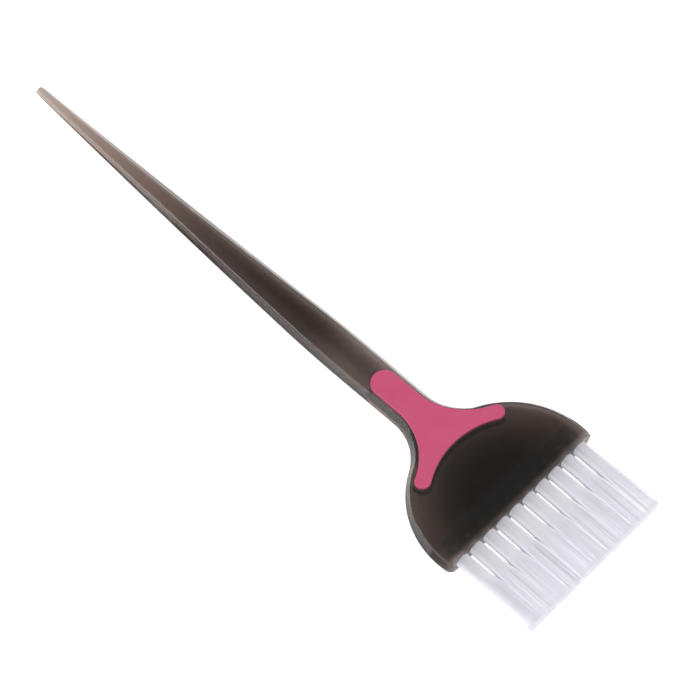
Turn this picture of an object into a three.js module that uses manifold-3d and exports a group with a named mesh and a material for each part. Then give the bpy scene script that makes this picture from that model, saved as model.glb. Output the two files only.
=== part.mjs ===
// Tint brush for hair colouring, lying on its back, in millimetres, +Z up.
//
// A slim tail handle and a half-moon head are one translucent moulding. Ten tufts of nylon filament
// stand in a row of blind holes in the head's straight end face. Each tuft is folded round a flat metal
// anchor that bites into the wall of its hole. A soft Y-shaped pad is let into each face of the neck.
//
// X runs from the tail to the bristles, Y across the head, and Z through the thickness. The origin is
// below the middle of the brush, on the surface that it lies on.

import * as THREE from 'three';
import { mergeVertices } from 'three/addons/utils/BufferGeometryUtils.js';
import Module from 'manifold-3d';

const wasm = await Module();
wasm.setup();

// ---------------------------------------------------------------------------------------------
// Driving dimensions. Plan sizes are measured from the middle of the head's straight end face:
// +x towards the bristle ends, y across, z up from the middle of the thickness.
// ---------------------------------------------------------------------------------------------

const handleLength = 200;
const bristleLength = 27.5;
const bodyThickness = 6.4;
const creaseInset = 1.45;
const creaseInsetShareMost = 0.38;
const creaseHeightShare = 0.77;
const creaseShareBelow = 0.15;
const creaseShareAbove = 0.3;
const crownWidth = 6;
const crownShareMost = 0.75;
const crownTangentShare = 0.45;

const headRadius = 28.7;
const headCentreX = -4.15;
const neckHalfWidth = 6.35;
const neckArcRadius = 15.2;
const gripHalfWidth = 6.5;
const gripX = -66;
const taperStartX = -84;
const taperStartHalfWidth = 6.2;
const tailHalfWidth = 1.5;
const tipRoundAngle = 0.95 * Math.PI;
const tailThickness = 2.5;
const tailLiftStartX = -88;
const tailLift = 4.65;

const padThickness = 1.2;
const padStandsProud = 0.6;
const padEndX = -56.3;
const padHalfWidth = 4;
const padSideArcRadius = 20;
const padArmRadius = 2.3;
const padArmReach = 27.3;
const padArmAngle = THREE.MathUtils.degToRad(147.5);
const padBevel = 0.25;
const padClearance = 0.2;
const pegRadius = 1.2;
const pegLength = 1.3;
const pegPlaces = [-49, -32];

const tuftCount = 10;
const tuftPitch = 5.15;
const tuftRadius = 2.2;
const tuftPivotX = 2.5;
const tuftGap = 0.1;
const tuftEndSquareness = 0.55;
const tuftEndThickness = 3.6;
const tuftSpreadX = 13;
const tuftRings = [0.2, 0.42, 0.7, 1];
const tuftBaseSteps = 2;
const holeClearance = 0.15;
const holeDepth = 7;

const anchorLength = 5.2;
const anchorHeight = 1.6;
const anchorThickness = 0.4;
const anchorAngle = Math.PI / 4;
const anchorFromFloor = 1.2;
const anchorClearance = 0.15;

const roundSides = 20;
const taperSteps = 12;
const bodyCurveSteps = 8;
const headSteps = 20;
const sectionSteps = 2;
const padCurveSteps = 5;
const cutterOverrun = 1;
const samePlace = 1e-4;

// ---------------------------------------------------------------------------------------------
// Materials
// ---------------------------------------------------------------------------------------------

const smokyPlastic = new THREE.MeshStandardMaterial({ color: 0x3a312d, roughness: 0.35, metalness: 0 });
const softRubber = new THREE.MeshStandardMaterial({ color: 0xcb577d, roughness: 0.75, metalness: 0 });
const nylonFilament = new THREE.MeshStandardMaterial({ color: 0xe0e0ea, roughness: 0.45, metalness: 0 });
const anchorWire = new THREE.MeshStandardMaterial({ color: 0xb8b4a8, roughness: 0.35, metalness: 1 });

// ---------------------------------------------------------------------------------------------
// Closed solids
// ---------------------------------------------------------------------------------------------

// A three.js geometry as a manifold solid: shared corners merged, slivers at the poles dropped.
function solidOf(geometry) {
  geometry.deleteAttribute('normal');
  geometry.deleteAttribute('uv');
  const merged = mergeVertices(geometry, samePlace);
  const index = merged.index.array;
  const triVerts = [];
  for (let i = 0; i < index.length; i += 3) {
    const [a, b, c] = index.slice(i, i + 3);
    if (a !== b && b !== c && c !== a) triVerts.push(a, b, c);
  }
  return new wasm.Manifold(new wasm.Mesh({
    numProp: 3,
    vertProperties: merged.attributes.position.array,
    triVerts: Uint32Array.from(triVerts),
  }));
}

function geometryOf(solid) {
  const mesh = solid.getMesh();
  const geometry = new THREE.BufferGeometry();
  geometry.setAttribute('position', new THREE.BufferAttribute(mesh.vertProperties, 3));
  geometry.setIndex(new THREE.BufferAttribute(mesh.triVerts, 1));
  geometry.computeVertexNormals();
  return geometry;
}

function part(name, solid, material) {
  const mesh = new THREE.Mesh(geometryOf(solid), material);
  mesh.name = name;
  return mesh;
}

// A round bar along x, from startX to endX.
function bar(radius, startX, endX) {
  const geometry = new THREE.CylinderGeometry(radius, radius, endX - startX, roundSides);
  geometry.rotateZ(-Math.PI / 2);
  geometry.translate((startX + endX) / 2, 0, 0);
  return geometry;
}

// A round peg along z at (x, 0), from bottomZ to topZ.
function peg(radius, x, bottomZ, topZ) {
  const geometry = new THREE.CylinderGeometry(radius, radius, topZ - bottomZ, roundSides);
  geometry.rotateX(Math.PI / 2);
  geometry.translate(x, 0, (bottomZ + topZ) / 2);
  return geometry;
}

// A closed plan outline from its upper half, which runs from the +x end to the -x end.
function mirroredShape(upperPoints) {
  const lowerPoints = upperPoints
    .filter((point) => point.y > samePlace)
    .map((point) => new THREE.Vector2(point.x, -point.y))
    .reverse();
  return new THREE.Shape([...upperPoints, ...lowerPoints]);
}

// ---------------------------------------------------------------------------------------------
// Handle body
// ---------------------------------------------------------------------------------------------

// Half of the plan outline, from the end face to the tail's tip: the head disc, a concave arc that is
// tangent to the disc and to the neck, the grip, the long taper, and most of the tip's round end.
function bodyUpperOutline() {
  const arcY = neckHalfWidth + neckArcRadius;
  const arcX = headCentreX - Math.sqrt((headRadius + neckArcRadius) ** 2 - arcY ** 2);
  const joinAngle = Math.atan2(arcY, arcX - headCentreX);
  const endAngle = Math.acos(-headCentreX / headRadius);
  const tipX = -handleLength + tailHalfWidth;
  const easing = (gripX - taperStartX) / 2;

  const head = new THREE.Path();
  head.absarc(headCentreX, 0, headRadius, endAngle, joinAngle, false);
  const grip = new THREE.Path();
  grip.absarc(arcX, arcY, neckArcRadius, joinAngle - Math.PI, -Math.PI / 2, true);
  grip.bezierCurveTo(
    arcX - easing, neckHalfWidth, gripX + easing, gripHalfWidth, gripX, gripHalfWidth);
  grip.quadraticCurveTo(gripX - easing, gripHalfWidth, taperStartX, taperStartHalfWidth);
  const taper = new THREE.Path();
  taper.moveTo(taperStartX, taperStartHalfWidth);
  taper.lineTo(tipX, tailHalfWidth);
  const tip = new THREE.Path();
  tip.absarc(tipX, 0, tailHalfWidth, Math.PI / 2, tipRoundAngle, false);
  return uniquePoints([
    ...head.getPoints(headSteps),
    ...grip.getPoints(bodyCurveSteps),
    ...taper.getSpacedPoints(taperSteps),
    ...tip.getPoints(bodyCurveSteps),
  ]);
}

function uniquePoints(points) {
  return points.filter((point, i) => i === 0 || point.distanceTo(points[i - 1]) > samePlace);
}

// A quarter of the cross-section as (y, z), from the side to the middle of the top. The side leans in
// from the parting line at mid-height up to a soft crease, and a shallow crown leads on to the flat top.
function quarterSection(halfWidth, halfThickness, slant) {
  const inset = Math.min(creaseInset * slant, creaseInsetShareMost * halfWidth);
  const crown = Math.min(crownWidth * slant, crownShareMost * halfWidth);
  const side = new THREE.Vector2(halfWidth, 0);
  const crease = new THREE.Vector2(halfWidth - inset, creaseHeightShare * halfThickness);
  const flat = new THREE.Vector2(halfWidth - crown, halfThickness);
  const tangentY = THREE.MathUtils.lerp(crease.x, flat.x, crownTangentShare);
  const tangent = new THREE.Vector2(tangentY, halfThickness);
  const beforeCrease = crease.clone().lerp(side, creaseShareBelow);
  const afterCrease = crease.clone().lerp(tangent, creaseShareAbove);
  return [
    side,
    ...new THREE.QuadraticBezierCurve(beforeCrease, crease, afterCrease).getPoints(sectionSteps),
    ...new THREE.QuadraticBezierCurve(afterCrease, tangent, flat).getPoints(sectionSteps).slice(1),
  ];
}

// The whole cross-section, anticlockwise, from its quarter. Both sides and both faces are alike.
function wholeSection(quarter) {
  const mirrored = (side, face) => quarter.map(({ x, y }) => new THREE.Vector2(side * x, face * y));
  return [
    ...quarter,
    ...mirrored(-1, 1).reverse(),
    ...mirrored(-1, -1).slice(1),
    ...mirrored(1, -1).slice(1).reverse(),
  ];
}

// A closed solid through a row of rings that run anticlockwise about +x, from the -x end to the +x end.
function loft(rings) {
  const around = rings[0].length;
  const lastRing = (rings.length - 1) * around;
  const index = [];
  for (let start = 0; start < lastRing; start += around) {
    for (let k = 0; k < around; k += 1) {
      const here = start + k;
      const next = start + (k + 1) % around;
      index.push(here, next, next + around);
      index.push(here, next + around, here + around);
    }
  }
  for (let k = 1; k < around - 1; k += 1) {
    index.push(0, k + 1, k);
    index.push(lastRing, lastRing + k, lastRing + k + 1);
  }
  const geometry = new THREE.BufferGeometry().setFromPoints(rings.flat());
  geometry.setIndex(index);
  return geometry;
}

// The body without its holes: one section carried from the tail's tip to the end face, and fitted to the
// plan outline at each station. The tail gets thinner towards its tip and sweeps up off the surface that
// the brush lies on. Where the outline slants, crease and crown are widened to keep their width across it.
function bodyBlank() {
  const stations = bodyUpperOutline().reverse();
  const last = stations.length - 1;
  const rings = stations.map(({ x, y: halfWidth }, station) => {
    const before = stations[Math.max(0, station - 1)];
    const after = stations[Math.min(last, station + 1)];
    const slant = after.distanceTo(before) / (after.x - before.x);
    const taper = Math.max(0, (taperStartX - x) / (taperStartX + handleLength));
    const sweep = Math.max(0, (tailLiftStartX - x) / (tailLiftStartX + handleLength));
    const tipRounding = Math.min(1, halfWidth / tailHalfWidth);
    const halfThickness = THREE.MathUtils.lerp(bodyThickness, tailThickness, taper) / 2 * tipRounding;
    const section = wholeSection(quarterSection(halfWidth, halfThickness, slant));
    return section.map((point) => new THREE.Vector3(x, point.x, point.y + tailLift * sweep ** 2));
  });
  return loft(rings);
}

function tuftY(number) {
  return (number - (tuftCount + 1) / 2) * tuftPitch;
}

// The flat anchor lies across its hole at an angle, with its height along the hole.
function anchorBlock(clearance) {
  const geometry = new THREE.BoxGeometry(
    anchorHeight + 2 * clearance, anchorThickness + 2 * clearance, anchorLength + 2 * clearance);
  geometry.rotateX(anchorAngle);
  geometry.translate(-holeDepth + anchorFromFloor + anchorHeight / 2, 0, 0);
  return solidOf(geometry);
}

function handleBodySolid() {
  let solid = solidOf(bodyBlank());
  for (let number = 1; number <= tuftCount; number += 1) {
    const hole = solidOf(bar(tuftRadius + holeClearance, -holeDepth, cutterOverrun));
    solid = solid.subtract(hole.add(anchorBlock(anchorClearance)).translate([0, tuftY(number), 0]));
  }
  for (const side of [1, -1]) {
    solid = solid.subtract(padRecess().rotate([side > 0 ? 0 : 180, 0, 0]));
  }
  return solid;
}

// ---------------------------------------------------------------------------------------------
// Grip pads
// ---------------------------------------------------------------------------------------------

// The pad's plan outline, moved outwards by margin. A round end leads into the straight neck part, then
// a concave side arc, the round end of an arm, and an arc about the end face's middle that joins the arms.
function padUpperOutline(margin) {
  const armX = padArmReach * Math.cos(padArmAngle);
  const armY = padArmReach * Math.sin(padArmAngle);
  const sideY = padHalfWidth + padSideArcRadius;
  const sideX = armX - Math.sqrt((padSideArcRadius + padArmRadius) ** 2 - (sideY - armY) ** 2);
  const sideAngle = Math.atan2(armY - sideY, armX - sideX);
  const endX = padEndX + padHalfWidth;

  const outline = new THREE.Path();
  outline.absarc(0, 0, padArmReach - padArmRadius - margin, Math.PI, padArmAngle, true);
  outline.absarc(armX, armY, padArmRadius + margin, padArmAngle - Math.PI, sideAngle + Math.PI, false);
  outline.absarc(sideX, sideY, padSideArcRadius - margin, sideAngle, -Math.PI / 2, true);
  outline.absarc(endX, 0, padHalfWidth + margin, Math.PI / 2, Math.PI, false);
  return uniquePoints(outline.getPoints(padCurveSteps));
}

// A plate with bevelled edges, from bottomZ to topZ.
function bevelledPlate(shape, bottomZ, topZ, bevel) {
  const geometry = new THREE.ExtrudeGeometry(shape, {
    depth: topZ - bottomZ - 2 * bevel,
    bevelThickness: bevel,
    bevelSize: bevel,
    bevelOffset: -bevel,
    bevelSegments: 1,
  });
  geometry.translate(0, 0, bottomZ + bevel);
  return geometry;
}

// One pad with its pegs, as it lies in the front face, reaching topZ.
function padSolid(topZ) {
  const floorZ = bodyThickness / 2 - padThickness;
  let solid = solidOf(bevelledPlate(mirroredShape(padUpperOutline(0)), floorZ, topZ, padBevel));
  for (const x of pegPlaces) {
    solid = solid.add(solidOf(peg(pegRadius, x, floorZ - pegLength, floorZ + padThickness / 2)));
  }
  return solid;
}

// The recess and the peg holes that the pad sits in, in the front face.
function padRecess() {
  const topZ = bodyThickness / 2 + cutterOverrun;
  const floorZ = bodyThickness / 2 - padThickness - padClearance;
  const block = new THREE.ExtrudeGeometry(mirroredShape(padUpperOutline(padClearance)), {
    depth: topZ - floorZ,
    bevelEnabled: false,
  });
  block.translate(0, 0, floorZ);
  let solid = solidOf(block);
  for (const x of pegPlaces) {
    const radius = pegRadius + padClearance;
    solid = solid.add(solidOf(peg(radius, x, floorZ - pegLength, floorZ + padThickness / 2)));
  }
  return solid;
}

// ---------------------------------------------------------------------------------------------
// Bristle tufts
// ---------------------------------------------------------------------------------------------

// The folded half of a tuft: it fills its hole, and the anchor passes through its fold.
function tuftRootSolid() {
  const floorX = -holeDepth + holeClearance;
  return solidOf(bar(tuftRadius, floorX, 0)).subtract(anchorBlock(anchorClearance));
}

// The free half of a tuft. Its base is a ball about the point where it bends, so that it clears the end
// face when it leans over. Beyond the ball the round tuft spreads until it nearly meets its neighbours
// and flattens towards its trimmed end.
function freeTuftSolid() {
  const profile = new THREE.Path();
  profile.absarc(0, 0, tuftRadius, -Math.PI / 2, 0, false);
  const points = profile.getPoints(tuftBaseSteps);
  const stretch = bristleLength - tuftPivotX;
  for (const reach of tuftRings) {
    points.push(new THREE.Vector2(tuftRadius, stretch * reach));
  }
  points[0].x = 0;
  points.push(new THREE.Vector2(0, stretch));

  const geometry = new THREE.LatheGeometry(points, roundSides);
  geometry.rotateZ(-Math.PI / 2);
  geometry.rotateX(Math.PI / 2);
  const position = geometry.attributes.position;
  const endHalfWidth = (tuftPitch - tuftGap) / 2;
  for (let i = 0; i < position.count; i += 1) {
    const x = position.getX(i);
    const y = position.getY(i);
    const z = position.getZ(i);
    const spread = THREE.MathUtils.smoothstep(x, 0, tuftSpreadX);
    const flattening = Math.max(0, x / stretch);
    const power = 1 - tuftEndSquareness * spread;
    const radius = Math.hypot(y, z);
    const across = radius > 0 ? Math.sign(y) * Math.abs(y / radius) ** power : 0;
    const upwards = radius > 0 ? Math.sign(z) * Math.abs(z / radius) ** power : 0;
    const halfWidth = THREE.MathUtils.lerp(tuftRadius, endHalfWidth, spread);
    const halfThickness = THREE.MathUtils.lerp(tuftRadius, tuftEndThickness / 2, flattening);
    const fullness = radius / tuftRadius;
    position.setXYZ(i, x + tuftPivotX, fullness * halfWidth * across, fullness * halfThickness * upwards);
  }
  return solidOf(geometry);
}

// ---------------------------------------------------------------------------------------------
// Assembly
// ---------------------------------------------------------------------------------------------

const tintBrush = new THREE.Group();
tintBrush.position.set((handleLength - bristleLength) / 2, 0, bodyThickness / 2);

tintBrush.add(part('handle_body', handleBodySolid(), smokyPlastic));
tintBrush.add(part('front_grip_pad', padSolid(bodyThickness / 2 + padStandsProud), softRubber));

const backPad = part('back_grip_pad', padSolid(bodyThickness / 2), softRubber);
backPad.rotation.x = Math.PI;
tintBrush.add(backPad);

for (let number = 1; number <= tuftCount; number += 1) {
  const label = String(number).padStart(2, '0');
  const tuft = new THREE.Group();
  tuft.position.y = tuftY(number);
  tuft.add(part(`anchor_${label}`, anchorBlock(0), anchorWire));
  tuft.add(part(`tuft_root_${label}`, tuftRootSolid(), nylonFilament));
  tuft.add(part(`tuft_${label}`, freeTuftSolid(), nylonFilament));
  tintBrush.add(tuft);
}

const scene = new THREE.Group();
scene.add(tintBrush);

export default scene;
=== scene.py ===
import math
import random

import bpy
from mathutils import Matrix, Vector


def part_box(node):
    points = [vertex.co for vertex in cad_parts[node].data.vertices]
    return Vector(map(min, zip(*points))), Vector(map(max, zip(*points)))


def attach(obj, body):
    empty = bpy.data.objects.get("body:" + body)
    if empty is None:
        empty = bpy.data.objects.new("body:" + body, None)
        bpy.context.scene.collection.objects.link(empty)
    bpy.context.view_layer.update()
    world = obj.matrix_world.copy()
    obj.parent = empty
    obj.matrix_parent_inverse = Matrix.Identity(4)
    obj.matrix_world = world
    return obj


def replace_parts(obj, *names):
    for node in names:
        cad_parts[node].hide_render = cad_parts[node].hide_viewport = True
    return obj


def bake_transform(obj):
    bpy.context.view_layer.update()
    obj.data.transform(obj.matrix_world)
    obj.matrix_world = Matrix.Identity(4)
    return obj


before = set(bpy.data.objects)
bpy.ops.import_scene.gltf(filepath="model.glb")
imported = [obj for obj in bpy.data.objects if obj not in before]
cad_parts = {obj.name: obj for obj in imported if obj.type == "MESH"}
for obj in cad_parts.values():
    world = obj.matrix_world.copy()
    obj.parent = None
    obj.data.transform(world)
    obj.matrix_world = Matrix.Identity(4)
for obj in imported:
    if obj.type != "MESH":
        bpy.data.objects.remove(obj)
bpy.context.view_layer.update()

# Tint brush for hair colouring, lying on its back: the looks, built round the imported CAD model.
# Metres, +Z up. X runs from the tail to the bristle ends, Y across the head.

MM = 0.001

# ------------------------------------------------------------------------------------------------
# Sizes. Plan sizes are measured from the middle of the head's end face, heights from mid-thickness.
# ------------------------------------------------------------------------------------------------

END_FACE_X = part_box("handle_body")[1].x
TUFT_COUNT = 10
MID_Z = sum(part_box("tuft_01")[k].z for k in (0, 1)) / 2
ORIGIN = Vector((END_FACE_X, 0, MID_Z))

HANDLE_LENGTH = END_FACE_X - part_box("handle_body")[0].x
BODY_THICKNESS = 2 * MID_Z
CREASE_INSET = 1.45 * MM
CREASE_INSET_SHARE_MOST = 0.38
CREASE_HEIGHT_SHARE = 0.77
CREASE_SHARE_BELOW = 0.15
CREASE_SHARE_ABOVE = 0.3
CROWN_WIDTH = 6 * MM
CROWN_SHARE_MOST = 0.75
CROWN_TANGENT_SHARE = 0.45
HEAD_RADIUS = 28.7 * MM
HEAD_CENTRE_X = -4.15 * MM
NECK_HALF_WIDTH = 6.35 * MM
NECK_ARC_RADIUS = 15.2 * MM
GRIP_HALF_WIDTH = 6.5 * MM
GRIP_X = -66 * MM
TAPER_START_X = -84 * MM
TAPER_START_HALF_WIDTH = 6.2 * MM
TAIL_HALF_WIDTH = 1.5 * MM
TAIL_TIP_ANGLE = 0.97 * math.pi
TAIL_THICKNESS = 2.5 * MM
TAIL_LIFT_START_X = -88 * MM
TAIL_LIFT = 4.65 * MM

CORNER_RADIUS = 0.6 * MM
END_FACE_EDGE = 0.25 * MM
END_FACE_BACK_EDGE = 0.5 * MM
PARTING_RIDGE = 0.06 * MM
PARTING_RIDGE_SHARE_MOST = 0.1
FLAT_STEPS = 5
CRISP_EDGE_ANGLE = math.radians(32)
CUTTER_CLEARANCE = 1 * MM

HOLE_RADIUS = 2.35 * MM
HOLE_DEPTH = 7 * MM
# Where a painted glint over each hole's bottom sits in the plastic's colour, and how wide it is.
HOLE_GLINT_X = -2.8 * MM
HOLE_GLINT_RADIUS = 1.6 * MM
HOLE_SHADING_REACH = 1.02
TUFT_RADIUS = 2.2 * MM
TUFT_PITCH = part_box("tuft_02")[0].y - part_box("tuft_01")[0].y
TUFT_MERGE_START_X = 8 * MM
TUFT_MERGE_END_X = 14 * MM
TUFT_END_THICKNESS = 3.6 * MM
TUFT_OVERLAP = 0.35 * MM
BRISTLE_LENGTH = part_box("tuft_01")[1].x - END_FACE_X

PAD_FLOOR_DEPTH = 1.2 * MM
PAD_END_X = -56.3 * MM
PAD_HALF_WIDTH = 4 * MM
PAD_SIDE_ARC_RADIUS = 20 * MM
PAD_ARM_RADIUS = 2.3 * MM
PAD_ARM_REACH = 27.3 * MM
PAD_ARM_ANGLE = math.radians(147.5)
PAD_EDGE_RADIUS = 0.3 * MM
PAD_GROOVE = 0.22 * MM
PEG_RADIUS = 1.2 * MM
PEG_LENGTH = 1.3 * MM
PEG_OVERLAP = 0.3 * MM
PEG_PLACES = (-49 * MM, -32 * MM)

FILAMENT_RADIUS = 0.08 * MM
FILAMENT_SPACING = 0.15 * MM
FILAMENT_SIDES = 5
FILAMENT_STEPS = 9
FILAMENT_SWELL = 0.25
TRIM_SPREAD = 0.2 * MM
ROOT_GAP_LEAST = 0.4 * MM
ROOT_GAP_MOST = 1.2 * MM
OUTER_CORNER = 0.9 * MM
OUTER_CORNER_POWER = 6
OUTER_SPREAD = 0.45 * MM
SWAY_ACROSS = 0.05 * MM
SWAY_UPWARDS = 0.04 * MM
# Painted light on each tuft's flanks, where the grooves between tufts are shaded: where across the tuft
# it starts, the share of random tone mixed in, and its share in the nylon's lightness.
FLANK_START = 0.55
CHANCE_IN_SHADE = 0.2
SHADE_IN_PALENESS = 0.35


def lerp(a, b, t):
    return a + (b - a) * t


def along_line(a, b, t):
    """The point a share t of the way from a to b."""
    return (lerp(a[0], b[0], t), lerp(a[1], b[1], t))


def smoothstep(value, low, high):
    t = min(1, max(0, (value - low) / (high - low)))
    return t * t * (3 - 2 * t)


def arc(centre, radius, start, end, steps):
    """Points on an arc about centre, from the angle start to the angle end, both ends included."""
    angles = [lerp(start, end, i / steps) for i in range(steps + 1)]
    return [(centre[0] + radius * math.cos(a), centre[1] + radius * math.sin(a)) for a in angles]


def bezier(points, steps):
    """Points on a Bezier curve of any order, without its first point."""
    found = []
    for i in range(1, steps + 1):
        level = list(points)
        while len(level) > 1:
            level = [along_line(a, b, i / steps) for a, b in zip(level, level[1:])]
        found.append(level[0])
    return found


def mesh_object(name, vertices, faces):
    """A new object whose vertices are given from the middle of the end face."""
    mesh = bpy.data.meshes.new(name)
    mesh.from_pydata([Vector(v) + ORIGIN for v in vertices], [], faces)
    mesh.validate()
    obj = bpy.data.objects.new(name, mesh)
    bpy.context.scene.collection.objects.link(obj)
    return obj


def apply_modifier(obj, kind, **settings):
    modifier = obj.modifiers.new(kind.lower(), kind)
    for key, value in settings.items():
        setattr(modifier, key, value)
    bpy.context.view_layer.objects.active = obj
    bpy.ops.object.modifier_apply(modifier=modifier.name)


def cut(obj, cutter, operation="DIFFERENCE"):
    """Takes cutter out of obj, or joins it on, and removes cutter."""
    apply_modifier(obj, "BOOLEAN", operation=operation, object=cutter, solver="EXACT")
    bpy.data.objects.remove(cutter)


def smooth_with_crisp_edges(obj):
    obj.data.shade_smooth()
    obj.data.set_sharp_from_angle(angle=CRISP_EDGE_ANGLE)
    apply_modifier(obj, "WEIGHTED_NORMAL", keep_sharp=True)


def tube_faces(around, rings, first=0):
    """The faces of a closed tube through rings of points, whose vertices are numbered from first.

    Each ring has as many points as around says, and runs anticlockwise about the way ahead.
    """
    last_ring = first + (rings - 1) * around
    base = tuple(first + k for k in reversed(range(around)))
    lid = tuple(last_ring + k for k in range(around))
    faces = [base, lid]
    for ring in range(first, last_ring, around):
        for k in range(around):
            here = ring + k
            there = ring + (k + 1) % around
            faces.append((here, there, there + around, here + around))
    return faces


def prism(name, outline, low_z, high_z):
    """A closed upright prism over a plan outline given anticlockwise."""
    vertices = [(x, y, z) for z in (low_z, high_z) for x, y in outline]
    return mesh_object(name, vertices, tube_faces(len(outline), 2))


def round_bar(name, radius, start, end, sides=48):
    """A closed round bar between two points, each given from the middle of the end face."""
    start, end = Vector(start), Vector(end)
    turn = (end - start).to_track_quat("Z", "Y").to_matrix()
    circle = [turn @ Vector((x, y, 0)) for x, y in arc((0, 0), radius, 0, math.tau, sides)[:-1]]
    vertices = [centre + offset for centre in (start, end) for offset in circle]
    return mesh_object(name, vertices, tube_faces(sides, 2))


# ------------------------------------------------------------------------------------------------
# Camera, floor and lights
# ------------------------------------------------------------------------------------------------

CAMERA_AZIMUTH = math.radians(52.156)
CAMERA_ELEVATION = math.radians(60.428)
CAMERA_ROLL = math.radians(-8.087)
CAMERA_DISTANCE = 0.6895
CAMERA_TARGET = Vector((0.017909, 0.001983, MID_Z))
CAMERA_LENS = 124.9
CAMERA_SENSOR = 36

WORLD_STRENGTH = 0.25
FLOOR_GLOW = 0.75
FLOOR_HALF_SIZE = 2.0
FLOOR_GAP = 0.05 * MM


def direction(azimuth, elevation):
    """The unit vector from the brush towards a place, with azimuth 0 on the -Y side."""
    flat = math.cos(elevation)
    return Vector((math.sin(azimuth) * flat, -math.cos(azimuth) * flat, math.sin(elevation)))


def make_camera():
    back = direction(CAMERA_AZIMUTH, CAMERA_ELEVATION)
    right = Vector((math.cos(CAMERA_AZIMUTH), math.sin(CAMERA_AZIMUTH), 0))
    up = back.cross(right)
    level = Matrix((right, up, back)).transposed().to_4x4()
    camera = bpy.data.objects.new("camera", bpy.data.cameras.new("camera"))
    camera.data.lens = CAMERA_LENS
    camera.data.sensor_width = CAMERA_SENSOR
    place = Matrix.Translation(CAMERA_TARGET + back * CAMERA_DISTANCE)
    camera.matrix_world = place @ level @ Matrix.Rotation(CAMERA_ROLL, 4, "Z")
    bpy.context.scene.collection.objects.link(camera)
    bpy.context.scene.camera = camera


def softbox(name, azimuth, elevation, distance, width, height, power):
    """A rectangular lamp that faces the brush."""
    lamp = bpy.data.lights.new(name, "AREA")
    lamp.shape = "RECTANGLE"
    lamp.size = width
    lamp.size_y = height
    lamp.energy = power
    towards = direction(math.radians(azimuth), math.radians(elevation))
    obj = bpy.data.objects.new(name, lamp)
    obj.location = towards * distance
    obj.rotation_mode = "QUATERNION"
    obj.rotation_quaternion = towards.to_track_quat("Z", "Y")
    bpy.context.scene.collection.objects.link(obj)


def make_world():
    world = bpy.data.worlds.new("studio")
    world.use_nodes = True
    background = world.node_tree.nodes["Background"]
    background.inputs["Color"].default_value = (1, 1, 1, 1)
    background.inputs["Strength"].default_value = WORLD_STRENGTH
    bpy.context.scene.world = world
    bpy.context.scene.view_settings.view_transform = "Standard"


def make_lights():
    softbox("key_softbox", azimuth=60, elevation=62, distance=1.3, width=0.9, height=0.9, power=11.5)
    softbox("side_softbox", azimuth=-24, elevation=22, distance=1.0, width=0.8, height=0.45, power=4)
    softbox("rim_softbox", azimuth=205, elevation=30, distance=1.3, width=1.0, height=0.6, power=2)
    softbox("back_softbox", azimuth=160, elevation=35, distance=1.3, width=1.0, height=0.6, power=6)


def make_floor():
    """A pale glowing table, just under the brush so that its surface doesn't share the brush's back."""
    half = FLOOR_HALF_SIZE
    corners = [(-half, -half), (half, -half), (half, half), (-half, half)]
    mesh = bpy.data.meshes.new("floor")
    mesh.from_pydata([(x, y, -FLOOR_GAP) for x, y in corners], [], [(0, 1, 2, 3)])
    floor = bpy.data.objects.new("floor", mesh)
    bpy.context.scene.collection.objects.link(floor)
    shader = new_material(floor, "light_table")[1]
    shader.inputs["Base Color"].default_value = (0.9, 0.9, 0.9, 1)
    shader.inputs["Roughness"].default_value = 0.9
    shader.inputs["Emission Color"].default_value = (1, 1, 1, 1)
    shader.inputs["Emission Strength"].default_value = FLOOR_GLOW


# ------------------------------------------------------------------------------------------------
# Materials
# ------------------------------------------------------------------------------------------------


def new_material(obj, name):
    """Gives obj a new material. Returns its node tree and its Principled node."""
    material = bpy.data.materials.new(name)
    material.use_nodes = True
    obj.data.materials.clear()
    obj.data.materials.append(material)
    return material.node_tree, material.node_tree.nodes["Principled BSDF"]


def math_node(tree, operation, *values):
    """A Math node. Each value is a number or another node's output."""
    node = tree.nodes.new("ShaderNodeMath")
    node.operation = operation
    for socket, value in zip(node.inputs, values):
        if isinstance(value, (int, float)):
            socket.default_value = value
        else:
            tree.links.new(value, socket)
    return node.outputs[0]


def plus(tree, a, b):
    return math_node(tree, "ADD", a, b)


def minus(tree, a, b):
    return math_node(tree, "SUBTRACT", a, b)


def times(tree, a, b):
    return math_node(tree, "MULTIPLY", a, b)


def larger(tree, a, b):
    return math_node(tree, "MAXIMUM", a, b)


def length(tree, a, b):
    """The length of a line that runs a along one axis and b along another."""
    return math_node(tree, "SQRT", plus(tree, times(tree, a, a), times(tree, b, b)))


def ramp(tree, value, low, high, from_value=0.0, to_value=1.0):
    """Goes smoothly from from_value to to_value as value goes from low to high."""
    node = tree.nodes.new("ShaderNodeMapRange")
    node.interpolation_type = "SMOOTHSTEP"
    tree.links.new(value, node.inputs["Value"])
    ends = {"From Min": low, "From Max": high, "To Min": from_value, "To Max": to_value}
    for key, number in ends.items():
        node.inputs[key].default_value = number
    return node.outputs["Result"]


def colour_ramp(tree, value, stops):
    """Colours along value: stops are (place, colour) pairs."""
    node = tree.nodes.new("ShaderNodeValToRGB")
    tree.links.new(value, node.inputs["Fac"])
    elements = node.color_ramp.elements
    while len(elements) < len(stops):
        elements.new(0.5)
    for element, (place, colour) in zip(elements, stops):
        element.position = place
        element.color = (*colour, 1)
    return node.outputs["Color"]


def place_on(tree):
    """The place on the object, in metres, as one vector."""
    return tree.nodes.new("ShaderNodeTexCoord").outputs["Object"]


def axes_of(tree, vector):
    """The x, y and z of a vector."""
    node = tree.nodes.new("ShaderNodeSeparateXYZ")
    tree.links.new(vector, node.inputs["Vector"])
    return node.outputs["X"], node.outputs["Y"], node.outputs["Z"]


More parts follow.
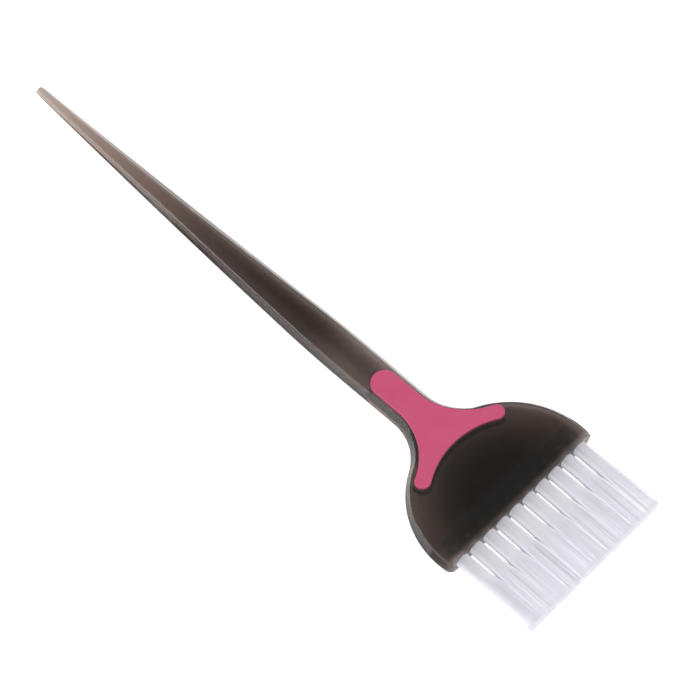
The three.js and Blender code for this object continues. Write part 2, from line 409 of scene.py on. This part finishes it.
def noise(tree, vector, size, detail=2.0, stretch=(1, 1, 1)):
    """Noise whose grains are about size metres, made longer along an axis by a stretch under 1."""
    mapping = tree.nodes.new("ShaderNodeMapping")
    tree.links.new(vector, mapping.inputs["Vector"])
    mapping.inputs["Scale"].default_value = [s / size for s in stretch]
    node = tree.nodes.new("ShaderNodeTexNoise")
    node.inputs["Scale"].default_value = 1
    node.inputs["Detail"].default_value = detail
    tree.links.new(mapping.outputs["Vector"], node.inputs["Vector"])
    return node.outputs["Fac"]


def bump(tree, shader, height, depth):
    """Relief depth metres high."""
    node = tree.nodes.new("ShaderNodeBump")
    node.inputs["Strength"].default_value = 1
    node.inputs["Distance"].default_value = depth
    tree.links.new(height, node.inputs["Height"])
    tree.links.new(node.outputs["Normal"], shader.inputs["Normal"])


def handle_painted_light(tree, from_end, y):
    """Painted light through the handle: most in the thin tail, more at its sides than in its middle;
    where it is low, the colour is painted shade.
    """
    tail = ramp(tree, from_end, -195 * MM, -88 * MM, from_value=0.84, to_value=0.31)
    neck = ramp(tree, from_end, -84 * MM, -64 * MM, to_value=0.3)
    side = times(
        tree,
        ramp(tree, math_node(tree, "ABSOLUTE", y), 0.5 * MM, 3.2 * MM),
        ramp(tree, from_end, -150 * MM, -95 * MM, from_value=-0.03, to_value=0.2))
    return plus(tree, plus(tree, tail, neck), side)


def head_painted_light(tree, from_end, y, from_tuft):
    """Painted light through the head: at its round rim, in a strip along its end face and as a glint over
    each hole; the middle stays dark with painted shade.
    """
    from_centre = length(tree, minus(tree, from_end, HEAD_CENTRE_X), y)
    rim = times(
        tree,
        ramp(tree, from_centre, 9 * MM, HEAD_RADIUS, to_value=0.6),
        ramp(tree, from_end, -18 * MM, -6 * MM, from_value=1.0, to_value=0.78))
    strip = ramp(tree, from_end, -2.5 * MM, -0.2 * MM, to_value=0.76)
    # A painted glint over each hole's bottom.
    from_hole_glint = length(tree, minus(tree, from_end, HOLE_GLINT_X), from_tuft)
    painted_hole_glint = ramp(tree, from_hole_glint, 0, HOLE_GLINT_RADIUS, from_value=0.17, to_value=0.0)
    # The end-face strip and the painted glints count for less where the rim's painted light is already
    # strong.
    end_light_share = math_node(tree, "MULTIPLY_ADD", rim, -0.5, 1.0)
    return math_node(tree, "MULTIPLY_ADD", plus(tree, strip, painted_hole_glint), end_light_share, rim)


def smoky_plastic(obj):
    """Smoky brown plastic whose colour holds painted light and shade: nearly clear in the thin tail,
    almost black in the middle of the head.
    """
    tree, shader = new_material(obj, "smoky_plastic")
    place = place_on(tree)
    x, y, z = axes_of(tree, place)
    from_end = minus(tree, x, END_FACE_X)
    share_of_pitch = math_node(tree, "FRACT", math_node(tree, "DIVIDE", y, TUFT_PITCH))
    from_tuft = times(tree, minus(tree, share_of_pitch, 0.5), TUFT_PITCH)

    in_head = ramp(tree, from_end, -50 * MM, -34 * MM)
    in_handle = minus(tree, 1.0, in_head)
    painted_light = plus(
        tree,
        times(tree, handle_painted_light(tree, from_end, y), in_handle),
        times(tree, head_painted_light(tree, from_end, y, from_tuft), in_head))
    cloud = noise(tree, place, 9 * MM, 3)
    painted_light = plus(tree, painted_light, math_node(tree, "MULTIPLY_ADD", cloud, 0.05, -0.025))
    # Painted light and shade: the tint is dark where the plastic is thick, and light where it is thin, at
    # the rim, along the end face and over the holes.
    tint = colour_ramp(tree, painted_light, (
        (0.0, (0.03, 0.025, 0.022)),
        (0.25, (0.12, 0.095, 0.082)),
        (0.5, (0.32, 0.26, 0.235)),
        (0.75, (0.6, 0.52, 0.48)),
        (1.0, (0.95, 0.9, 0.87)),
    ))
    tree.links.new(tint, shader.inputs["Base Color"])

    shader.inputs["IOR"].default_value = 1.49
    shader.inputs["Transmission Weight"].default_value = 0.95
    haze = noise(tree, place, 2.5 * MM, 4)
    polish = ramp(tree, haze, 0.3, 0.7, from_value=0.17, to_value=0.25)
    over_roots = ramp(tree, from_end, -13 * MM, -6 * MM, to_value=0.32)
    from_axis = length(tree, from_tuft, minus(tree, z, MID_Z))
    in_hole = times(
        tree,
        math_node(tree, "LESS_THAN", from_axis, HOLE_RADIUS * HOLE_SHADING_REACH),
        math_node(tree, "LESS_THAN", -HOLE_DEPTH * HOLE_SHADING_REACH, from_end))
    roughness = larger(tree, larger(tree, polish, over_roots), times(tree, in_hole, 0.9))
    tree.links.new(roughness, shader.inputs["Roughness"])
    ripple = noise(tree, place, 1.6 * MM, 2)
    bump(tree, shader, ripple, 0.012 * MM)

    absorption = tree.nodes.new("ShaderNodeVolumeAbsorption")
    absorption.inputs["Color"].default_value = (0.25, 0.125, 0.0625, 1)
    absorption.inputs["Density"].default_value = 400
    tree.links.new(absorption.outputs["Volume"], tree.nodes["Material Output"].inputs["Volume"])


def soft_rubber(obj):
    """Pink overmoulded rubber with the fine spark-eroded grain of its mould."""
    tree, shader = new_material(obj, "soft_rubber")
    place = place_on(tree)
    cloud = noise(tree, place, 7 * MM, 3)
    colour = colour_ramp(tree, cloud, (
        (0.3, (0.475, 0.056, 0.148)),
        (0.7, (0.505, 0.063, 0.16)),
    ))
    tree.links.new(colour, shader.inputs["Base Color"])
    grain = noise(tree, place, 0.16 * MM, 3)
    roughness = ramp(tree, grain, 0.35, 0.65, from_value=0.56, to_value=0.72)
    tree.links.new(roughness, shader.inputs["Roughness"])
    bump(tree, shader, grain, 0.02 * MM)
    shader.inputs["Sheen Weight"].default_value = 0.12
    shader.inputs["Sheen Roughness"].default_value = 0.45


def nylon_filament(obj):
    """White nylon, greyer in the hole and near the head with painted shade, paler towards the tuft's
    flanks with painted light, and paler towards its frosted, trimmed end.
    """
    tree, shader = new_material(obj, "nylon_filament")
    x = axes_of(tree, place_on(tree))[0]
    from_end = minus(tree, x, END_FACE_X)
    # Each filament's painted flank light mixed with its random tone.
    shade = tree.nodes.new("ShaderNodeAttribute")
    shade.attribute_name = "shade"
    # Painted shade: darker in the hole and near the head, lighter towards the trimmed end.
    along = ramp(tree, from_end, -2 * MM, 28 * MM)
    paleness = plus(
        tree,
        times(tree, shade.outputs["Fac"], SHADE_IN_PALENESS),
        times(tree, along, 1 - SHADE_IN_PALENESS))
    colour = colour_ramp(tree, paleness, (
        (0.0, (0.5, 0.495, 0.535)),
        (0.07, (0.59, 0.585, 0.63)),
        (0.15, (0.68, 0.675, 0.725)),
        (0.3, (0.75, 0.745, 0.8)),
        (0.6, (0.81, 0.805, 0.865)),
        (1.0, (0.86, 0.855, 0.915)),
    ))
    tree.links.new(colour, shader.inputs["Base Color"])
    frosting_start = BRISTLE_LENGTH - 2 * MM
    roughness = ramp(tree, from_end, frosting_start, BRISTLE_LENGTH, from_value=0.35, to_value=0.6)
    tree.links.new(roughness, shader.inputs["Roughness"])
    shader.inputs["IOR"].default_value = 1.53


def anchor_metal(obj):
    """Drawn and cut flat wire."""
    tree, shader = new_material(obj, "anchor_wire")
    drawn = noise(tree, place_on(tree), 0.08 * MM, 3, stretch=(1, 0.05, 0.05))
    colour = colour_ramp(tree, drawn, (
        (0.3, (0.6, 0.57, 0.5)),
        (0.7, (0.75, 0.72, 0.66)),
    ))
    tree.links.new(colour, shader.inputs["Base Color"])
    shader.inputs["Metallic"].default_value = 1
    roughness = ramp(tree, drawn, 0.3, 0.7, from_value=0.28, to_value=0.42)
    tree.links.new(roughness, shader.inputs["Roughness"])
    bump(tree, shader, drawn, 0.004 * MM)


# ------------------------------------------------------------------------------------------------
# Handle body
# ------------------------------------------------------------------------------------------------


def body_stations():
    """Pairs of x and half-width, from the head's corner to the tail's tip.

    The tip's round stops just short of the axis, so that its last section isn't a single point.
    """
    arc_y = NECK_HALF_WIDTH + NECK_ARC_RADIUS
    arc_x = HEAD_CENTRE_X - math.sqrt((HEAD_RADIUS + NECK_ARC_RADIUS) ** 2 - arc_y ** 2)
    join_angle = math.atan2(arc_y, arc_x - HEAD_CENTRE_X)
    tip_x = TAIL_HALF_WIDTH - HANDLE_LENGTH
    easing = (GRIP_X - TAPER_START_X) / 2
    quarter = math.pi / 2

    head = arc((HEAD_CENTRE_X, 0), HEAD_RADIUS, corner_place()[1], join_angle, 48)
    neck = arc((arc_x, arc_y), NECK_ARC_RADIUS, join_angle - math.pi, -quarter, 18)
    grip = bezier(
        [neck[-1], (arc_x - easing, NECK_HALF_WIDTH), (GRIP_X + easing, GRIP_HALF_WIDTH),
         (GRIP_X, GRIP_HALF_WIDTH)], 20)
    waist = bezier(
        [grip[-1], (GRIP_X - easing, GRIP_HALF_WIDTH), (TAPER_START_X, TAPER_START_HALF_WIDTH)], 12)
    taper = bezier([waist[-1], (tip_x, TAIL_HALF_WIDTH)], 56)
    tip = arc((tip_x, 0), TAIL_HALF_WIDTH, quarter, TAIL_TIP_ANGLE, 12)
    return head + neck[1:] + grip + waist + taper + tip[1:]


def corner_place():
    """The y of the round corner's centre, and the angle about the head's centre that it stands at."""
    along = -CORNER_RADIUS - HEAD_CENTRE_X
    across = math.sqrt((HEAD_RADIUS - CORNER_RADIUS) ** 2 - along ** 2)
    return across, math.atan2(across, along)


def body_section(half_width, half_thickness, slant):
    """A cross-section as (y, z) points, anticlockwise. Both faces and both sides are alike.

    The side leans in from the parting line at mid-height up to a soft crease, and a shallow crown leads
    on to the flat middle. slant widens crease and crown, to keep their width across a slanting outline.
    """
    inset = min(CREASE_INSET * slant, CREASE_INSET_SHARE_MOST * half_width)
    crown = min(CROWN_WIDTH * slant, CROWN_SHARE_MOST * half_width)
    ridge = min(PARTING_RIDGE, PARTING_RIDGE_SHARE_MOST * half_thickness)
    parting = (half_width, ridge)
    crease = (half_width - inset, CREASE_HEIGHT_SHARE * half_thickness)
    flat = (half_width - crown, half_thickness)
    tangent = (lerp(crease[0], flat[0], CROWN_TANGENT_SHARE), half_thickness)
    before_crease = along_line(crease, parting, CREASE_SHARE_BELOW)
    after_crease = along_line(crease, tangent, CREASE_SHARE_ABOVE)

    quarter = [parting, before_crease]
    quarter += bezier([before_crease, crease, after_crease], 6)
    quarter += bezier([after_crease, tangent, flat], 12)
    quarter += [(flat[0] * (1 - i / FLAT_STEPS), half_thickness) for i in range(1, FLAT_STEPS)]
    upper = quarter + [(0, half_thickness)] + [(-y, z) for y, z in reversed(quarter)]
    lower = [(y, -z) for y, z in reversed(upper)]
    return [(half_width + ridge, 0), *upper, (-half_width - ridge, 0), *lower]


def rounding(x, radius):
    """How far a round edge of that radius, along the end face, has dropped at x."""
    into_edge = max(0, x + radius)
    return radius - math.sqrt(radius ** 2 - into_edge ** 2)


def body_blank():
    """The moulding without its holes: sections carried along the stations and closed at both ends."""
    outline = body_stations()
    last = len(outline) - 1
    stations = []
    for i, (x, half_width) in enumerate(outline):
        before, after = outline[max(0, i - 1)], outline[min(last, i + 1)]
        slant = math.dist(before, after) / (before[0] - after[0])
        stations.append((x, half_width, slant))
    corner_y, corner_end = corner_place()
    corner = arc((-CORNER_RADIUS, corner_y), CORNER_RADIUS, 0, corner_end, 8)
    corner_slant = stations[0][2]
    stations = [(x, y, corner_slant) for x, y in corner[:-1]] + stations

    vertices = []
    for x, half_width, slant in reversed(stations):
        taper = max(0, (TAPER_START_X - x) / (TAPER_START_X + HANDLE_LENGTH))
        sweep = max(0, (TAIL_LIFT_START_X - x) / (TAIL_LIFT_START_X + HANDLE_LENGTH))
        tip_rounding = min(1, half_width / TAIL_HALF_WIDTH)
        half_thickness = lerp(BODY_THICKNESS, TAIL_THICKNESS, taper) / 2 * tip_rounding
        lift = TAIL_LIFT * sweep ** 2
        highest = half_thickness - rounding(x, END_FACE_EDGE)
        lowest = rounding(x, END_FACE_BACK_EDGE) - half_thickness
        section = body_section(half_width, half_thickness, slant)
        vertices += [(x, y, min(highest, max(lowest, z)) + lift) for y, z in section]

    around = len(vertices) // len(stations)
    return mesh_object("handle_moulding", vertices, tube_faces(around, len(stations)))


def tuft_y(number):
    return (number - (TUFT_COUNT + 1) / 2) * TUFT_PITCH


def make_handle():
    body = body_blank()
    for number in range(1, TUFT_COUNT + 1):
        y = tuft_y(number)
        hole = round_bar("hole", HOLE_RADIUS, (-HOLE_DEPTH, y, 0), (CUTTER_CLEARANCE, y, 0))
        cut(body, hole)
    for side in (1, -1):
        cut(body, pad_recess(side))
    smooth_with_crisp_edges(body)
    smoky_plastic(body)
    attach(body, "handle")
    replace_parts(body, "handle_body")


# ------------------------------------------------------------------------------------------------
# Grip pads
# ------------------------------------------------------------------------------------------------


def pad_outline(margin):
    """The Y-shaped outline, anticlockwise, moved outwards by margin."""
    arm_x = PAD_ARM_REACH * math.cos(PAD_ARM_ANGLE)
    arm_y = PAD_ARM_REACH * math.sin(PAD_ARM_ANGLE)
    side_y = PAD_HALF_WIDTH + PAD_SIDE_ARC_RADIUS
    side_x = arm_x - math.sqrt((PAD_SIDE_ARC_RADIUS + PAD_ARM_RADIUS) ** 2 - (side_y - arm_y) ** 2)
    side_angle = math.atan2(arm_y - side_y, arm_x - side_x)
    end_x = PAD_END_X + PAD_HALF_WIDTH
    crotch_radius = PAD_ARM_REACH - PAD_ARM_RADIUS - margin
    quarter = math.pi / 2

    arm_radius = PAD_ARM_RADIUS + margin
    upper = arc((0, 0), crotch_radius, math.pi, PAD_ARM_ANGLE, 16)
    upper += arc((arm_x, arm_y), arm_radius, PAD_ARM_ANGLE - math.pi, side_angle + math.pi, 20)[1:]
    upper += arc((side_x, side_y), PAD_SIDE_ARC_RADIUS - margin, side_angle, -quarter, 20)[1:]
    upper += arc((end_x, 0), PAD_HALF_WIDTH + margin, quarter, math.pi, 14)
    lower = [(x, -y) for x, y in reversed(upper[1:-1])]
    return upper + lower


def pad_recess(side):
    """The cutter for one pad's recess and peg holes. side is 1 for the front face and -1 for the back."""
    top_z = BODY_THICKNESS / 2 + CUTTER_CLEARANCE
    floor_z = BODY_THICKNESS / 2 - PAD_FLOOR_DEPTH - PAD_GROOVE
    cutter = prism("recess", pad_outline(PAD_GROOVE), floor_z, top_z)
    for x in PEG_PLACES:
        peg = round_bar("peg", PEG_RADIUS + PAD_GROOVE, (x, 0, floor_z - PEG_LENGTH), (x, 0, top_z))
        cut(cutter, peg, "UNION")
    if side < 0:
        turn_over(cutter)
    return cutter


def turn_over(obj):
    """Turns obj half round the brush's own length, front face to back."""
    turn = Matrix.Rotation(math.pi, 4, "X")
    obj.data.transform(Matrix.Translation(ORIGIN) @ turn @ Matrix.Translation(-ORIGIN))


def make_pad(name, side, top_z):
    """One pad: a plate with round upper edges and the pegs that hold it."""
    floor_z = BODY_THICKNESS / 2 - PAD_FLOOR_DEPTH
    edge_steps = 6
    rings = [(0, floor_z)]
    for i in range(edge_steps + 1):
        angle = math.pi / 2 * i / edge_steps
        rings.append((
            -PAD_EDGE_RADIUS * (1 - math.cos(angle)),
            top_z - PAD_EDGE_RADIUS * (1 - math.sin(angle))))
    vertices = [(x, y, z) for margin, z in rings for x, y in pad_outline(margin)]
    around = len(vertices) // len(rings)
    pad = mesh_object(name, vertices, tube_faces(around, len(rings)))
    for x in PEG_PLACES:
        peg_start, peg_end = (x, 0, floor_z - PEG_LENGTH), (x, 0, floor_z + PEG_OVERLAP)
        cut(pad, round_bar("peg", PEG_RADIUS, peg_start, peg_end), "UNION")
    if side < 0:
        turn_over(pad)
    smooth_with_crisp_edges(pad)
    soft_rubber(pad)
    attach(pad, "handle")
    return pad


def make_pads():
    front_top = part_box("front_grip_pad")[1].z - MID_Z
    back_top = MID_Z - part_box("back_grip_pad")[0].z
    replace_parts(make_pad("front_rubber_grip", 1, front_top), "front_grip_pad")
    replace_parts(make_pad("back_rubber_grip", -1, back_top), "back_grip_pad")


# ------------------------------------------------------------------------------------------------
# Bristles
# ------------------------------------------------------------------------------------------------


def pressed_square(across, upwards):
    """Where a place in the unit disc goes when the disc is pressed out evenly into a square."""
    difference = across ** 2 - upwards ** 2
    root = math.sqrt(8)
    return [
        (math.sqrt(max(0, 2 + sign * difference + root * value))
         - math.sqrt(max(0, 2 + sign * difference - root * value))) / 2
        for value, sign in ((across, 1), (upwards, -1))]


def tuft_place(across, upwards, x):
    """Takes a place in the unit disc to (y, z) in a tuft at x.

    The tuft is round at its hole, and flat, wide and square-cornered at its end.
    """
    free = max(0, x / BRISTLE_LENGTH)
    merged = smoothstep(x, TUFT_MERGE_START_X, TUFT_MERGE_END_X)
    square_y, square_z = pressed_square(across, upwards)
    half_width = lerp(TUFT_RADIUS, TUFT_PITCH / 2, merged) + TUFT_OVERLAP * free
    half_thickness = lerp(TUFT_RADIUS, TUFT_END_THICKNESS / 2, free)
    return (
        half_width * lerp(across, square_y, merged),
        half_thickness * lerp(upwards, square_z, merged))


def filament_places():
    """Where a tuft's filaments stand in the unit disc, in rings from the skin in."""
    places = []
    radius = TUFT_RADIUS - FILAMENT_RADIUS
    while radius > 0:
        count = max(1, round(math.tau * radius / FILAMENT_SPACING))
        places += arc((0, 0), radius / TUFT_RADIUS, 0, math.tau, count)[:-1]
        radius -= FILAMENT_SPACING
    return places


def filament_path(rng, number, across, upwards):
    """Points along one filament, from inside the hole to its trimmed end."""
    outermost = number in (1, TUFT_COUNT)
    outwards = max(0, across * math.copysign(1, tuft_y(number))) if outermost else 0
    trimmed = OUTER_CORNER * outwards ** OUTER_CORNER_POWER + abs(rng.gauss(0, TRIM_SPREAD))
    sway_y = rng.gauss(0, SWAY_ACROSS) * (1 - outwards)
    sway_z = rng.gauss(0, SWAY_UPWARDS)
    start = -HOLE_DEPTH + rng.uniform(ROOT_GAP_LEAST, ROOT_GAP_MOST)
    points = []
    for i in range(FILAMENT_STEPS + 1):
        x = lerp(start, BRISTLE_LENGTH - trimmed, i / FILAMENT_STEPS)
        y, z = tuft_place(across, upwards, x)
        free = max(0, x / BRISTLE_LENGTH)
        y = lerp(y, across * (TUFT_RADIUS + OUTER_SPREAD * free), outwards)
        points.append(Vector((x, tuft_y(number) + y + sway_y * free, z + sway_z * free)))
    return points


def make_tuft(number):
    rng = random.Random(number)
    label = f"{number:02d}"
    vertices, faces, shades = [], [], []
    ring = arc((0, 0), 1, 0, math.tau, FILAMENT_SIDES)[:-1]
    for across, upwards in filament_places():
        path = filament_path(rng, number, across, upwards)
        # Painted light: filaments towards the tuft's flanks are paler, mixed with a random tone per
        # filament.
        shade = lerp(smoothstep(abs(across), FLANK_START, 1), rng.random(), CHANCE_IN_SHADE)
        first = len(vertices)
        for i, point in enumerate(path):
            radius = FILAMENT_RADIUS * (1 + FILAMENT_SWELL * i / FILAMENT_STEPS)
            vertices += [point + Vector((0, y * radius, z * radius)) for y, z in ring]
        faces += tube_faces(FILAMENT_SIDES, len(path), first)
        shades += [shade] * (len(path) * FILAMENT_SIDES)

    tuft = mesh_object(f"filaments_{label}", vertices, faces)
    attribute = tuft.data.attributes.new("shade", "FLOAT", "POINT")
    attribute.data.foreach_set("value", shades)
    tuft.data.shade_smooth()
    nylon_filament(tuft)
    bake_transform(tuft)
    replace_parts(tuft, f"tuft_{label}", f"tuft_root_{label}")


# ------------------------------------------------------------------------------------------------
# The whole scene
# ------------------------------------------------------------------------------------------------

make_camera()
make_world()
make_lights()
make_floor()
make_handle()
make_pads()
for tuft_number in range(1, TUFT_COUNT + 1):
    make_tuft(tuft_number)
    anchor_metal(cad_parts[f"anchor_{tuft_number:02d}"])
